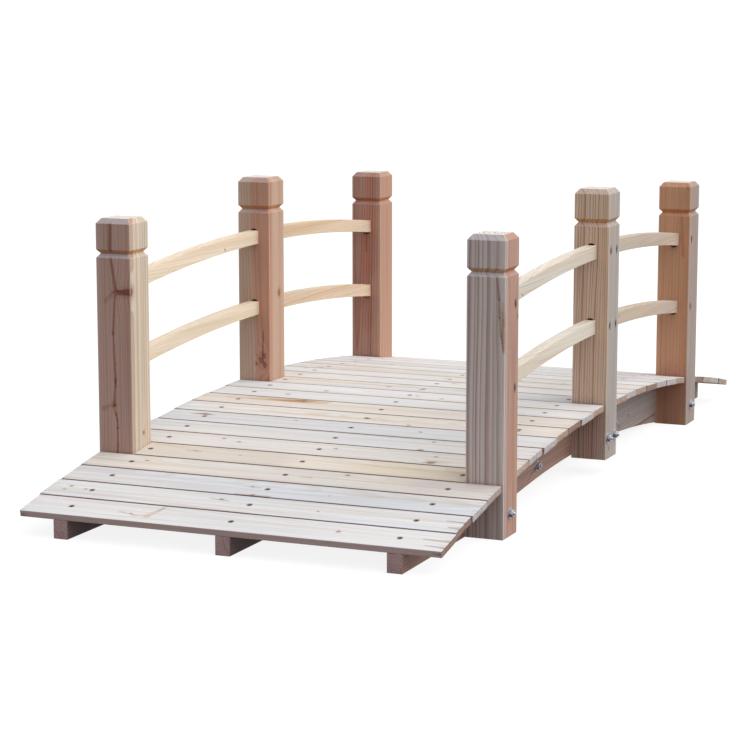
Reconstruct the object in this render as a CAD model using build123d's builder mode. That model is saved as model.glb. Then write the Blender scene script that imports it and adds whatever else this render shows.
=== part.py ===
from build123d import *
import math
import os

# An arched garden bridge in bare fir: three bandsawn stringers carry twenty-five
# cross planks, and six square posts bolted outside them hold two curved rails a side.
# X runs across the deck, Y along it, Z up. The origin is on the ground under the crown.

# Arch
DECK_RADIUS = 5550.0
CROWN_HEIGHT = 178.0

# Deck
PLANK_COUNT = 25
PLANK_PITCH = 93.0
PLANK_GAP = 3.0
PLANK_THICKNESS = 15.0
PLANK_END_SETBACK = 3.0
END_SCATTER = 2.0
SHORT_PLANK_CLEARANCE = 1.5

# Posts
POST_SIZE = 88.0
POST_LENGTH = 667.0
CLEAR_WIDTH = 824.0
POST_PLANK_STEP = 8
MIDDLE_POST_DROP = 7.0
CAP_RISE = 12.0
CAP_INSET = 10.0
CAP_BLOCK = 60.0
GROOVE_HEIGHT = 19.0
GROOVE_DEPTH = 8.0

# Stringers and the boards that splice their halves
STRINGER_THICKNESS = 35.0
STRINGER_DEPTH = 116.0
STRINGER_SETBACK = 4.0
SPLICE_LENGTH = 700.0
SPLICE_DEPTH = 90.0
SPLICE_THICKNESS = 28.0
SPLICE_LIFT = 4.0

# Rails
RAIL_THICKNESS = 28.0
RAIL_HEIGHT = 34.0
UPPER_RAIL_RISE = 393.0
LOWER_RAIL_RISE = 209.0
TENON_THICKNESS = 19.0
TENON_LENGTH = 36.0
TENON_SHOULDER = 4.0
SLOT_WIDTH = 25.0
SLOT_PLAY = 7.0
SLOT_END_CLEARANCE = 2.0
MIDDLE_SLOT_LIFT = 1.0

# Screw pockets, cut with a few flat sides, and bolt holes
SCREW_POCKET_RADIUS = 4.8
SCREW_POCKET_SIDES = 8
SCREW_POCKET_DEPTH = 2.5
DECK_SCREW_INBOARD = 5.0
RAIL_SCREW_INSET = 20.0
BOLT_HOLE_RADIUS = 4.5
CORNER_BOLT_HEIGHT = 52.0
MIDDLE_BOLT_HEIGHT = 93.0
MIDDLE_BOLT_OFFSET = 27.0
SPLICE_BOLT_OFFSET = 305.0
SPLICE_BOLT_RISE = 30.0

# Values that follow from the sizes above
ARC_CENTRE = CROWN_HEIGHT - DECK_RADIUS
PLANK_WIDTH = PLANK_PITCH - PLANK_GAP
PLANK_LENGTH = CLEAR_WIDTH + 2 * (POST_SIZE - PLANK_END_SETBACK)
DECK_UNDERSIDE = DECK_RADIUS - PLANK_THICKNESS
STRINGER_UNDERSIDE = DECK_UNDERSIDE - STRINGER_DEPTH
POST_INNER = CLEAR_WIDTH / 2
POST_CENTRE = POST_INNER + POST_SIZE / 2
POST_OUTER = POST_INNER + POST_SIZE
POST_SPACING = DECK_RADIUS * math.sin(POST_PLANK_STEP * PLANK_PITCH / DECK_RADIUS)
HALF_DECK_ANGLE = PLANK_COUNT * PLANK_PITCH / 2 / DECK_RADIUS
STRINGER_END = DECK_RADIUS * math.sin(HALF_DECK_ANGLE) - STRINGER_SETBACK
SIDES = {"left": -1, "right": 1}
ENDS = {"front": -1, "back": 1}
RAIL_RISES = {"upper": UPPER_RAIL_RISE, "lower": LOWER_RAIL_RISE}


def arc_height(radius, y):
    """Height of a circle of this radius about the deck's centre, at a place along the bridge."""
    return ARC_CENTRE + math.sqrt(radius**2 - y**2)


def arc_reach(radius, z):
    """Distance from the crown at which that circle comes down to a height."""
    return math.sqrt(radius**2 - (z - ARC_CENTRE) ** 2)


def rail_centre(rise, y):
    """Height of a rail's centreline above the ground."""
    return arc_height(DECK_RADIUS + rise - RAIL_HEIGHT / 2, y)


def facing(x, y, z, sign):
    """A plane on a side face of the bridge, looking out to the left or the right."""
    return Plane(origin=(x, y, z), x_dir=(0, 1, 0), z_dir=(sign, 0, 0))


def drill_bolts(bolts):
    """Drill the part in hand through from side to side at each (y, z)."""
    with Locations(*[facing(0, y, z, 1) for y, z in bolts]):
        Hole(BOLT_HOLE_RADIUS)


def save(part, label):
    """Name a finished piece and write it out."""
    part.label = label
    export_step(part, f"parts/{label}.step")


splice_bolt_height = arc_height(STRINGER_UNDERSIDE, SPLICE_BOLT_OFFSET) + SPLICE_BOLT_RISE
corner_bolts = {end: (way * POST_SPACING, CORNER_BOLT_HEIGHT) for end, way in ENDS.items()}
middle_bolts = {end: (way * MIDDLE_BOLT_OFFSET, MIDDLE_BOLT_HEIGHT) for end, way in ENDS.items()}
splice_bolts = {end: (way * SPLICE_BOLT_OFFSET, splice_bolt_height) for end, way in ENDS.items()}

os.makedirs("parts", exist_ok=True)

# Deck planks, short where the posts stand, with a screw pocket over each stringer
middle_plank = (PLANK_COUNT + 1) // 2
post_planks = [middle_plank - POST_PLANK_STEP, middle_plank, middle_plank + POST_PLANK_STEP]
screw_line = POST_INNER - STRINGER_THICKNESS / 2 - DECK_SCREW_INBOARD
for number in range(1, PLANK_COUNT + 1):
    angle = (number - middle_plank) * PLANK_PITCH / DECK_RADIUS
    between_posts = number in post_planks
    length = CLEAR_WIDTH - 2 * SHORT_PLANK_CLEARANCE if between_posts else PLANK_LENGTH
    shift = 0 if between_posts else END_SCATTER * math.sin(number**2)
    underside = Plane(
        origin=(0, DECK_UNDERSIDE * math.sin(angle), ARC_CENTRE + DECK_UNDERSIDE * math.cos(angle)),
        x_dir=(1, 0, 0),
        z_dir=(0, math.sin(angle), math.cos(angle)),
    )
    with BuildPart() as deck_plank:
        with BuildSketch(underside):
            with Locations((shift, 0)):
                Rectangle(length, PLANK_WIDTH)
        extrude(amount=PLANK_THICKNESS)
        with BuildSketch(underside.offset(PLANK_THICKNESS)):
            with GridLocations(screw_line, 0, 3, 1):
                RegularPolygon(SCREW_POCKET_RADIUS, SCREW_POCKET_SIDES)
        extrude(amount=-SCREW_POCKET_DEPTH, mode=Mode.SUBTRACT)
    save(deck_plank.part, f"deck_plank_{number:02d}")

# Stringers, each of two halves that butt under the crown, with level feet
foot_reach = arc_reach(STRINGER_UNDERSIDE, 0)
stringer_places = {
    "left": -POST_INNER,
    "middle": -STRINGER_THICKNESS / 2,
    "right": POST_INNER - STRINGER_THICKNESS,
}
for side, inner in stringer_places.items():
    for end, way in ENDS.items():
        top_end = (way * STRINGER_END, arc_height(DECK_UNDERSIDE, STRINGER_END))
        foot_heel = (way * STRINGER_END, 0)
        foot_toe = (way * foot_reach, 0)
        butt_low = (0, arc_height(STRINGER_UNDERSIDE, 0))
        butt_high = (0, arc_height(DECK_UNDERSIDE, 0))
        bolts = [middle_bolts[end], splice_bolts[end]]
        if side in SIDES:
            bolts.append(corner_bolts[end])
        with BuildPart() as stringer:
            with BuildSketch(Plane.YZ.offset(inner)):
                with BuildLine():
                    RadiusArc(butt_high, top_end, way * DECK_UNDERSIDE)
                    Polyline(top_end, foot_heel, foot_toe)
                    RadiusArc(foot_toe, butt_low, -way * STRINGER_UNDERSIDE)
                    Line(butt_low, butt_high)
                make_face()
            extrude(amount=STRINGER_THICKNESS)
            drill_bolts(bolts)
        save(stringer.part, f"stringer_{side}_{end}")

# Splice boards bolted across the butt joints, against the stringers' inner faces
splice_places = {
    "left": -POST_INNER + STRINGER_THICKNESS,
    "middle": STRINGER_THICKNESS / 2,
    "right": POST_INNER - STRINGER_THICKNESS - SPLICE_THICKNESS,
}
splice_centre = arc_height(STRINGER_UNDERSIDE, 0) + SPLICE_LIFT + SPLICE_DEPTH / 2
for side, inner in splice_places.items():
    with BuildPart() as splice_board:
        with BuildSketch(Plane.YZ.offset(inner)):
            with Locations((0, splice_centre)):
                Rectangle(SPLICE_LENGTH, SPLICE_DEPTH)
        extrude(amount=SPLICE_THICKNESS)
        drill_bolts([*middle_bolts.values(), *splice_bolts.values()])
    save(splice_board.part, f"splice_board_{side}")

# Posts with a V groove under a chamfered cap, and a round-ended slot for each rail
post_rows = {"front": -POST_SPACING, "middle": 0, "back": POST_SPACING}
groove_waist = POST_SIZE - 2 * GROOVE_DEPTH
groove_angle = math.degrees(math.atan(GROOVE_DEPTH / (GROOVE_HEIGHT / 2)))
cap_angle = math.degrees(math.atan(CAP_INSET / CAP_RISE))
for row, row_y in post_rows.items():
    in_middle = row == "middle"
    foot = arc_height(STRINGER_UNDERSIDE, 0) - MIDDLE_POST_DROP if in_middle else 0
    slot_lift = MIDDLE_SLOT_LIFT if in_middle else 0
    bolts = list(middle_bolts.values()) if in_middle else [corner_bolts[row]]
    shoulder = foot + POST_LENGTH - CAP_RISE
    cap_base = shoulder - CAP_BLOCK
    groove_base = cap_base - GROOVE_HEIGHT
    stages = (
        (foot, POST_SIZE, groove_base - foot, 0),
        (groove_base, POST_SIZE, GROOVE_HEIGHT / 2, groove_angle),
        (groove_base + GROOVE_HEIGHT / 2, groove_waist, GROOVE_HEIGHT / 2, -groove_angle),
        (cap_base, POST_SIZE, CAP_BLOCK, 0),
        (shoulder, POST_SIZE, CAP_RISE, cap_angle),
    )
    for side, sign in SIDES.items():
        with BuildPart() as post:
            for level, width, height, taper in stages:
                with BuildSketch(Plane.XY.offset(level)):
                    with Locations((sign * POST_CENTRE, row_y)):
                        Rectangle(width, width)
                extrude(amount=height, taper=taper)
            for end, way in ENDS.items():
                if row == end:
                    continue
                face_y = row_y + way * POST_SIZE / 2
                tenon_middle = face_y - way * TENON_LENGTH / 2
                screw_y = face_y - way * RAIL_SCREW_INSET
                for rise in RAIL_RISES.values():
                    mouth = Plane(
                        origin=(sign * POST_CENTRE, face_y, rail_centre(rise, tenon_middle) + slot_lift),
                        x_dir=(0, 0, 1),
                        z_dir=(0, -way, 0),
                    )
                    with BuildSketch(mouth):
                        SlotOverall(RAIL_HEIGHT + SLOT_PLAY, SLOT_WIDTH)
                    extrude(amount=TENON_LENGTH + SLOT_END_CLEARANCE, mode=Mode.SUBTRACT)
                    with BuildSketch(facing(sign * POST_OUTER, screw_y, rail_centre(rise, screw_y), sign)):
                        RegularPolygon(SCREW_POCKET_RADIUS, SCREW_POCKET_SIDES)
                    extrude(amount=-SCREW_POCKET_DEPTH, mode=Mode.SUBTRACT)
            drill_bolts(bolts)
        save(post.part, f"post_{row}_{side}")

# Curved rails, one length to a bay, with a thinner tenon at each end
bay_start = POST_SIZE / 2
bay_end = POST_SPACING - POST_SIZE / 2
for level, rise in RAIL_RISES.items():
    top_radius = DECK_RADIUS + rise
    low_radius = top_radius - RAIL_HEIGHT
    bar = (RAIL_THICKNESS, top_radius, low_radius, bay_start, bay_end)
    tenons = (
        TENON_THICKNESS,
        top_radius - TENON_SHOULDER,
        low_radius + TENON_SHOULDER,
        bay_start - TENON_LENGTH,
        bay_end + TENON_LENGTH,
    )
    for end, way in ENDS.items():
        for side, sign in SIDES.items():
            with BuildPart() as rail:
                for thickness, high, low, near, far in (bar, tenons):
                    near_high = (way * near, arc_height(high, near))
                    far_high = (way * far, arc_height(high, far))
                    near_low = (way * near, arc_height(low, near))
                    far_low = (way * far, arc_height(low, far))
                    with BuildSketch(Plane.YZ.offset(sign * POST_CENTRE)):
                        with BuildLine():
                            RadiusArc(near_high, far_high, way * high)
                            Line(far_high, far_low)
                            RadiusArc(far_low, near_low, -way * low)
                            Line(near_low, near_high)
                        make_face()
                    extrude(amount=thickness / 2, both=True)
            save(rail.part, f"rail_{level}_{end}_{side}")
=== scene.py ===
import bpy
import math
import random
from functools import partial
from mathutils import Matrix, Vector


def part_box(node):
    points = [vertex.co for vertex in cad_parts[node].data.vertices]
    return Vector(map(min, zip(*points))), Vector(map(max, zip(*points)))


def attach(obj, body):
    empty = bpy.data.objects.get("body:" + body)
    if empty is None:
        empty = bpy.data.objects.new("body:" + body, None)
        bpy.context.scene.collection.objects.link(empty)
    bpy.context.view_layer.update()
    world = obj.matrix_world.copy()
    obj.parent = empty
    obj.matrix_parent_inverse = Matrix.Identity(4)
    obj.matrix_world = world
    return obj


# Looks of an arched garden bridge in bare fir. Everything is in metres, in the frame of the
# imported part: X across the deck, Y along the bridge, Z up, origin on the ground at mid-span.

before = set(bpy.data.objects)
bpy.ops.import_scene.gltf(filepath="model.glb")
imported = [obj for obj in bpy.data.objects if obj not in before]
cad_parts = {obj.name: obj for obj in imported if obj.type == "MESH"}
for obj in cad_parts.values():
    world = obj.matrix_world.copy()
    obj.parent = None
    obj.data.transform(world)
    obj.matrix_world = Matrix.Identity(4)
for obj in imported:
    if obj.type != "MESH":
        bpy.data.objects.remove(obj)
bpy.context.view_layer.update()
MM = 0.001

# Camera, found from the photograph's perspective
CAMERA_PLACE = (2.181, -5.484, 1.187)
CAMERA_YAW = math.radians(-22.89)
CAMERA_PITCH = math.radians(-9.36)
CAMERA_LENS = 112.5
SENSOR_WIDTH = 36.0

# Light: a cool sky all round, dimmer near the ground and brighter from above on the right,
# and one weak lamp
SKY_COLOUR = (0.86, 0.94, 1.0, 1)
SKY_STRENGTH = 0.55
SKY_LOW = 0.25
SKY_RISE = 0.32
BRIGHT_SIDE = (0.68, 0.12, 0.72)
BRIGHT_COLOUR = (1.0, 0.985, 0.96, 1)
BRIGHT_STRENGTH = 1.60
KEY_PLACE = (5.2, 1.6, 6.2)
KEY_AIM = (0, 0, 0.2)
KEY_SIZE = 6.0
KEY_POWER = 130
KEY_COLOUR = (1.0, 0.97, 0.93)
FLOOR_REACH = 40.0
FLOOR_GREY = 0.20
FLOOR_GLOW = 0.87

# The bridge's own sizes that the grain and the fasteners are set out from
DECK_RADIUS = 5550 * MM
CROWN_HEIGHT = 178 * MM
ARC_CENTRE = CROWN_HEIGHT - DECK_RADIUS
PLANK_COUNT = 25
MIDDLE_PLANK = (PLANK_COUNT + 1) / 2
PLANK_PITCH = 93 * MM
PLANK_WIDTH = 90 * MM
EASING = 1.2 * MM
PLANK_EASING = 1.7 * MM
RIM_WIDTH = 2.8 * MM
POST_SIZE = 88 * MM
POST_FACE = 500 * MM
POST_CENTRE = POST_FACE - POST_SIZE / 2
POST_SPACING = 741.77 * MM
STRINGER_FACE = 412 * MM
STRINGER_THICKNESS = 35 * MM
SPLICE_THICKNESS = 28 * MM
SCREW_LINE = 389.5 * MM
POCKET_DEPTH = 2.5 * MM
SCREW_MARK_LENGTH = 8 * MM
SCREW_MARK_RADIUS = 6 * MM
CORNER_SCREW = POST_SPACING - POST_SIZE / 2 + 20 * MM
MIDDLE_SCREW = 24 * MM
UPPER_RAIL_RADIUS = 5926 * MM
LOWER_RAIL_RADIUS = 5742 * MM
CORNER_BOLT_HEIGHT = 52 * MM
MIDDLE_BOLT_HEIGHT = 93 * MM
MIDDLE_BOLT_OFFSET = 27 * MM
SPLICE_BOLT_OFFSET = 305 * MM
STRINGER_UNDERSIDE = 5419 * MM
SPLICE_BOLT_RISE = 30 * MM

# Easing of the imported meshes' edges
WELD_REACH = 0.01 * MM
BEVEL_ANGLE = math.radians(28)
BEVEL_STEPS = 2
NORMAL_WEIGHT = 60

# Fasteners
ROUND = 24
HEAD_RADIUS = 4.2 * MM
HEAD_SINK = 0.9 * MM
SCREW_NECK = 2.6 * MM
RECESS_ARM = 2.6 * MM
RECESS_WIDTH = 0.65 * MM
RECESS_DEPTH = 1.2 * MM
WASHER_RADIUS = 13 * MM
WASHER_THICKNESS = 1.6 * MM
WASHER_RIM = 0.3 * MM
NUT_FLATS = 16 * MM
NUT_HEIGHT = 7.5 * MM
NUT_RIM = 0.9 * MM
BOLT_RADIUS = 4 * MM
BOLT_END = 13 * MM
THREAD_PITCH = 1.25 * MM
THREAD_DEPTH = 0.65 * MM
TIP_CHAMFER = 0.4 * MM
HEAD_HEIGHT = 5.5 * MM
CRISP_ANGLE = math.radians(32)
SCREW_SEED = 7
BOLT_SEED = 11

# Tones that veins, streaks and stains multiply into the wood; some stand for painted light and shade
PITH_RED = (0.58, 0.36, 0.29, 1)
AMBER = (0.86, 0.64, 0.45, 1)
OCHRE = (0.86, 0.71, 0.58, 1)
DUSK = (0.62, 0.50, 0.47, 1)
SPIKE_RED = (0.60, 0.36, 0.38, 1)
FAINT = (0.80, 0.72, 0.70, 1)
SCREW_HOLE = (0.13, 0.09, 0.08, 1)
POST_FOOT_SHADE = (0.78, 0.72, 0.82, 1)
COOL = (0.92, 0.93, 0.98, 1)
DULL = (0.86, 0.86, 0.86, 1)
PAINTED_STRAW_LIGHT = (1.0, 0.96, 0.86, 1)
STAIN = (0.87, 0.77, 0.67, 1)
ROSY = (0.96, 0.90, 0.92, 1)
RUSSET = (1.0, 0.83, 0.77, 1)

SIDES = {"left": -1, "right": 1}
ENDS = {"front": -1, "back": 1}
ROWS = {"front": -1, "middle": 0, "back": 1}


def arc_height(radius, along):
    """Height of an arc about the deck's centre, at a distance along the bridge."""
    return ARC_CENTRE + math.sqrt(radius ** 2 - along ** 2)


def plank_matrix(number):
    """Frame on a plank's top face: X along it, Y across it, Z out of it."""
    angle = (number - MIDDLE_PLANK) * PLANK_PITCH / DECK_RADIUS
    place = Vector((0, DECK_RADIUS * math.sin(angle), ARC_CENTRE + DECK_RADIUS * math.cos(angle)))
    return Matrix.Translation(place) @ Matrix.Rotation(-angle, 4, "X")


def upright_matrix(x, y):
    """Frame of an upright timber: X up it, Y to the right, Z to the back."""
    turn = Matrix(((0, 1, 0), (0, 0, 1), (1, 0, 0))).to_4x4()
    return Matrix.Translation((x, y, 0)) @ turn


def lengthwise_matrix(low, high):
    """Frame at the middle of a box that runs along the bridge: X along it, Y to the left, Z up."""
    centre = [(a + b) / 2 for a, b in zip(low, high)]
    return Matrix.Translation(centre) @ Matrix.Rotation(math.pi / 2, 4, "Z")


# Shader building
class Shader:
    """Short calls for making and joining the nodes of one tree."""

    def __init__(self, tree):
        self.tree = tree

    def feed(self, socket, value):
        if isinstance(value, bpy.types.NodeSocket):
            self.tree.links.new(value, socket)
        else:
            socket.default_value = value

    def node(self, kind, **settings):
        made = self.tree.nodes.new("ShaderNode" + kind)
        for key, value in settings.items():
            setattr(made, key, value)
        return made

    def calc(self, operation, *values, clamp=False):
        made = self.node("Math", operation=operation, use_clamp=clamp)
        for socket, value in zip(made.inputs, values):
            self.feed(socket, value)
        return made.outputs[0]

    def vector(self, operation, first, second):
        made = self.node("VectorMath", operation=operation)
        self.feed(made.inputs[0], first)
        self.feed(made.inputs["Scale"] if operation == "SCALE" else made.inputs[1], second)
        return made.outputs[0]

    def dot(self, first, second):
        made = self.node("VectorMath", operation="DOT_PRODUCT")
        self.feed(made.inputs[0], first)
        self.feed(made.inputs[1], second)
        return made.outputs["Value"]

    def length(self, value):
        made = self.node("VectorMath", operation="LENGTH")
        self.feed(made.inputs[0], value)
        return made.outputs["Value"]

    def parts(self, value):
        made = self.node("SeparateXYZ")
        self.feed(made.inputs[0], value)
        return made.outputs

    def ease(self, value, low, high, start=0.0, end=1.0):
        made = self.node("MapRange", interpolation_type="SMOOTHSTEP")
        for socket, given in zip(made.inputs, (value, low, high, start, end)):
            self.feed(socket, given)
        return made.outputs["Result"]

    def mix(self, amount, first, second, blend="MIX"):
        made = self.node("Mix", data_type="RGBA", blend_type=blend)
        self.feed(made.inputs[0], amount)
        self.feed(made.inputs[6], first)
        self.feed(made.inputs[7], second)
        return made.outputs[2]

    def noise(self, place, detail=2.0, roughness=0.5, stretch=None):
        if stretch:
            place = self.vector("MULTIPLY", place, stretch)
        made = self.node("TexNoise")
        self.feed(made.inputs["Vector"], place)
        made.inputs["Scale"].default_value = 1.0
        made.inputs["Detail"].default_value = detail
        made.inputs["Roughness"].default_value = roughness
        return made.outputs[0]

    def group(self, tree, **values):
        made = self.node("Group", node_tree=tree)
        for key, value in values.items():
            self.feed(made.inputs[key], value)
        return made.outputs

    def bump(self, surface, height, strength, distance):
        made = self.node("Bump")
        made.inputs["Strength"].default_value = strength
        made.inputs["Distance"].default_value = distance
        self.feed(made.inputs["Height"], height)
        self.feed(surface.inputs["Normal"], made.outputs[0])

    def seen(self):
        """One where the camera or a reflection looks, nought for the light itself."""
        path = self.node("LightPath")
        return self.calc("MAXIMUM", path.outputs["Is Camera Ray"], path.outputs["Is Glossy Ray"])


def new_group(name, inputs, outputs):
    """An empty node group with its sockets; returns it, its shader, its inputs and its output node."""
    tree = bpy.data.node_groups.new(name, "ShaderNodeTree")
    for direction, sockets in (("INPUT", inputs), ("OUTPUT", outputs)):
        for socket, kind in sockets.items():
            tree.interface.new_socket(name=socket, in_out=direction, socket_type="NodeSocket" + kind)
    shader = Shader(tree)
    given = tree.nodes.new("NodeGroupInput")
    result = tree.nodes.new("NodeGroupOutput")
    return tree, shader, given.outputs, result.inputs


# Tones that are multiplied into every timber, and the shake of its rings
GREY_CAST = (0.93, 0.95, 0.98, 1)
GREEN_CAST = (0.92, 0.955, 0.925, 1)
STREAK_TONE = (0.93, 0.86, 0.80, 1)
FIBRE_TONE = (0.88, 0.83, 0.78, 1)
PORE_TONE = (0.86, 0.80, 0.74, 1)
HALO_TONE = (0.88, 0.68, 0.50, 1)
KNOT_RINGS = (1.5, 1.6, 1.6, 1)
KNOT_RIM = (0.36, 0.34, 0.40, 1)
END_PORES = (0.85, 0.79, 0.74, 1)
END_BLOTCH = (0.86, 0.82, 0.80, 1)
RING_SHAKE = 2.2 * MM
END_CALM = 1.5 * MM
END_TURN = (0.75, 0.95)
FAR_FROM_KNOTS = 9.0


def make_knot_group():
    """A branch along a run: how near it is, in its own radii, and how far it pushes the rings."""
    tree, s, given, result = new_group(
        "branch",
        {"Place": "Vector", "Start": "Vector", "Run": "Vector", "Radius": "Float"},
        {"Near": "Float", "Push": "Float"},
    )
    away = s.vector("SUBTRACT", given["Place"], given["Start"])
    share = s.calc("DIVIDE", s.dot(away, given["Run"]), s.dot(given["Run"], given["Run"]), clamp=True)
    across = s.vector("SUBTRACT", away, s.vector("SCALE", given["Run"], share))
    wobble = s.noise(given["Place"], 3.0, 0.65, (110, 190, 190))
    distance = s.length(s.vector("MULTIPLY", across, (0.8, 1, 1)))
    distance = s.calc("MULTIPLY", distance, s.calc("MULTIPLY_ADD", wobble, 1.3, 0.35))
    radius = s.calc("MULTIPLY", given["Radius"], s.calc("MULTIPLY_ADD", share, 0.45, 0.55))
    s.feed(result["Near"], s.calc("DIVIDE", distance, radius))
    spread = s.length(s.vector("MULTIPLY", across, (0.35, 1, 1)))
    reach = s.calc("MULTIPLY", given["Radius"], 3.2)
    swell = s.ease(s.calc("DIVIDE", spread, reach), 0.0, 1.0, 1.0, 0.0)
    s.feed(result["Push"], s.calc("MULTIPLY", swell, given["Radius"]))
    return tree


def make_timber_group():
    """Solid softwood: growth rings about a pith line, heartwood, fibres, knots and end grain."""
    tree, s, given, result = new_group(
        "timber",
        {
            "Place": "Vector",
            "Seed": "Vector",
            "Pith": "Vector",
            "Lean": "Vector",
            "Wander": "Float",
            "Spacing": "Float",
            "Contrast": "Float",
            "Heart Contrast": "Float",
            "Heart Radius": "Float",
            "Heart Blur": "Float",
            "Sap": "Color",
            "Heart": "Color",
            "Late": "Color",
            "Near": "Float",
            "Push": "Float",
            "Halo": "Float",
            "Knot": "Color",
            "End": "Float",
            "End Tone": "Color",
        },
        {"Color": "Color", "Roughness": "Float", "Height": "Float"},
    )
    place = given["Place"]
    seeded = s.vector("ADD", place, given["Seed"])
    along = s.parts(place)["X"]

    # Distance from the pith, with slow wander and small jitter
    pith = s.vector("ADD", given["Pith"], s.vector("SCALE", given["Lean"], along))
    section = s.vector("MULTIPLY", s.vector("SUBTRACT", place, pith), (0, 1, 1))
    slow = s.calc("SUBTRACT", s.noise(seeded, 2.0, 0.5, (1.4, 9, 9)), 0.5)
    quick = s.calc("SUBTRACT", s.noise(seeded, 3.0, 0.6, (9, 110, 110)), 0.5)
    distance = s.calc("ADD", s.length(section), s.calc("MULTIPLY", slow, given["Wander"]))
    jitter = s.calc("MULTIPLY", quick, s.calc("MULTIPLY_ADD", given["End"], -END_CALM, RING_SHAKE))
    ring = s.calc("ADD", s.calc("ADD", distance, jitter), given["Push"])

    # Rings of uneven width: pale earlywood that darkens into a sharp late edge
    years = s.calc("DIVIDE", ring, given["Spacing"])
    level = s.node("CombineXYZ")
    s.feed(level.inputs[0], s.calc("MULTIPLY", years, 0.55))
    s.feed(level.inputs[1], s.parts(given["Seed"])["X"])
    uneven = s.noise(level.outputs[0], 1.0)
    years = s.calc("ADD", years, s.calc("MULTIPLY", uneven, 1.7))
    phase = s.calc("FRACT", years)
    late = s.calc("MULTIPLY", s.ease(phase, 0.30, 0.90), s.ease(phase, 0.92, 1.0, 1.0, 0.0))
    weight = s.node("TexWhiteNoise", noise_dimensions="1D")
    s.feed(weight.inputs["W"], s.calc("FLOOR", years))
    late = s.calc("MULTIPLY", late, s.calc("MULTIPLY_ADD", weight.outputs["Value"], 0.7, 0.45))

    # Fibres, pores and broad shifts of tone
    fibre = s.noise(seeded, 4.0, 0.7, (5, 380, 380))
    pore = s.noise(seeded, 2.0, 0.6, (60, 1500, 1500))
    streak = s.noise(seeded, 2.0, 0.5, (1.1, 55, 55))
    broad = s.noise(seeded, 1.0, 0.5, (2.3, 13, 13))
    green = s.noise(seeded, 2.0, 0.5, (0.9, 90, 90))

    # Sapwood and heartwood, then everything that tints them
    past = s.calc("SUBTRACT", s.calc("DIVIDE", distance, given["Heart Radius"]), 1.0)
    inside = s.ease(s.calc("DIVIDE", past, given["Heart Blur"]), -1.0, 1.0, 1.0, 0.0)
    colour = s.mix(inside, given["Sap"], given["Heart"])
    colour = s.mix(s.ease(broad, 0.35, 0.65), colour, GREY_CAST, "MULTIPLY")
    colour = s.mix(s.ease(streak, 0.42, 0.72), colour, STREAK_TONE, "MULTIPLY")
    colour = s.mix(s.ease(green, 0.50, 0.72), colour, GREEN_CAST, "MULTIPLY")
    extra = s.calc("SUBTRACT", given["Heart Contrast"], given["Contrast"])
    contrast = s.calc("MULTIPLY_ADD", inside, extra, given["Contrast"])
    colour = s.mix(s.calc("MULTIPLY", late, contrast, clamp=True), colour, given["Late"], "MULTIPLY")
    colour = s.mix(s.ease(fibre, 0.40, 0.75, 0.0, 0.8), colour, FIBRE_TONE, "MULTIPLY")
    colour = s.mix(s.ease(pore, 0.55, 0.8, 0.0, 0.5), colour, PORE_TONE, "MULTIPLY")

    # Knots: amber halo, dark rim, brown core with its own fine rings
    near = given["Near"]
    halo = s.calc("MULTIPLY", s.ease(near, 1.0, 3.0, 1.0, 0.0), given["Halo"])
    core = s.ease(near, 0.7, 1.3, 1.0, 0.0)
    rim = s.calc("MULTIPLY", s.ease(near, 0.5, 0.95), core)
    grown = s.calc("MULTIPLY_ADD", s.calc("SINE", s.calc("MULTIPLY", near, 20.0)), 0.5, 0.5)
    colour = s.mix(halo, colour, HALO_TONE, "MULTIPLY")
    body = s.mix(grown, given["Knot"], KNOT_RINGS, "MULTIPLY")
    body = s.mix(rim, body, KNOT_RIM, "MULTIPLY")
    colour = s.mix(s.calc("MULTIPLY", core, 0.85), colour, body)

    # End grain: its own tone, with the rings across it and open pores
    dots = s.noise(place, 2.0, 0.7, (900, 900, 900))
    blotch = s.noise(seeded, 2.0, 0.6, (60, 60, 60))
    sawn = s.mix(s.ease(dots, 0.35, 0.7), given["End Tone"], END_PORES, "MULTIPLY")
    sawn = s.mix(s.ease(blotch, 0.40, 0.75), sawn, END_BLOTCH, "MULTIPLY")
    sawn = s.mix(s.calc("MULTIPLY", late, 0.7), sawn, given["Late"], "MULTIPLY")
    colour = s.mix(given["End"], colour, sawn)

    s.feed(result["Color"], colour)
    rough = s.calc("MULTIPLY_ADD", fibre, 0.22, 0.56)
    rough = s.calc("SUBTRACT", rough, s.calc("MULTIPLY", late, 0.08))
    rough = s.calc("ADD", rough, s.calc("MULTIPLY", given["End"], 0.12))
    s.feed(result["Roughness"], s.calc("SUBTRACT", rough, s.calc("MULTIPLY", core, 0.12), clamp=True))
    height = s.calc("MULTIPLY_ADD", late, 0.35, s.calc("MULTIPLY", fibre, 0.5))
    height = s.calc("ADD", height, s.calc("MULTIPLY", pore, 0.3))
    height = s.calc("ADD", height, s.calc("MULTIPLY", s.calc("MULTIPLY", dots, given["End"]), 0.7))
    s.feed(result["Height"], s.calc("ADD", height, s.calc("MULTIPLY", core, 0.5)))
    return tree


def new_material(name):
    """A material with a Principled shader; returns it, its shader calls and the Principled node."""
    material = bpy.data.materials.new(name)
    material.use_nodes = True
    tree = material.node_tree
    tree.nodes.clear()
    shader = Shader(tree)
    surface = shader.node("BsdfPrincipled")
    out = shader.node("OutputMaterial")
    tree.links.new(surface.outputs[0], out.inputs["Surface"])
    return material, shader, surface


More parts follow.
